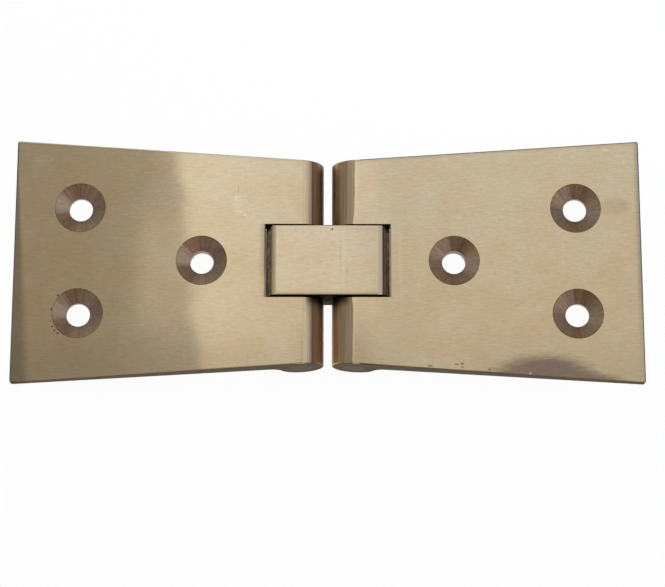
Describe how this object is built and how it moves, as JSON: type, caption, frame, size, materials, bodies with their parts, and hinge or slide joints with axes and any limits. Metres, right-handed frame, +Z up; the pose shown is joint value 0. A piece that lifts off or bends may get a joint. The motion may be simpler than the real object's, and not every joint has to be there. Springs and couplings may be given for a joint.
{
  "type": "counterflap hinge",
  "caption": "Brass counterflap hinge: tapered countersunk leaves joined by a pinned link, folding from flat to fully back on itself.",
  "frame": {"origin": "middle of the hinge in plan, level with the undersides of the barrels", "axes": "+X along the hinge towards the right leaf's outer end, +Y along the pins, +Z up out of the flat show face"},
  "size_m": [0.1142, 0.0454, 0.008],
  "materials": {
    "leaf_left": "linished along the length",
    "leaf_right": "linished along the length",
    "link": "linished along the length",
    "pins": "drawn, ends filed flush"
  },
  "bodies": {
    "fixed_leaf": {"leaf_left": "leaf_left", "pin_left": "pins"},
    "centre_link": {"link": "link"},
    "flap_leaf": {"leaf_right": "leaf_right", "pin_right": "pins"}
  },
  "joints": [
    {"name": "left_pivot", "type": "hinge", "parent": "fixed_leaf", "child": "centre_link", "pos_m": [-0.00475, 0, 0.004], "axis": [0, -1, 0], "range_deg": [-7, 90]},
    {"name": "right_pivot", "type": "hinge", "parent": "centre_link", "child": "flap_leaf", "pos_m": [0.00475, 0, 0.004], "axis": [0, -1, 0], "range_deg": [-7, 90]}
  ]
}
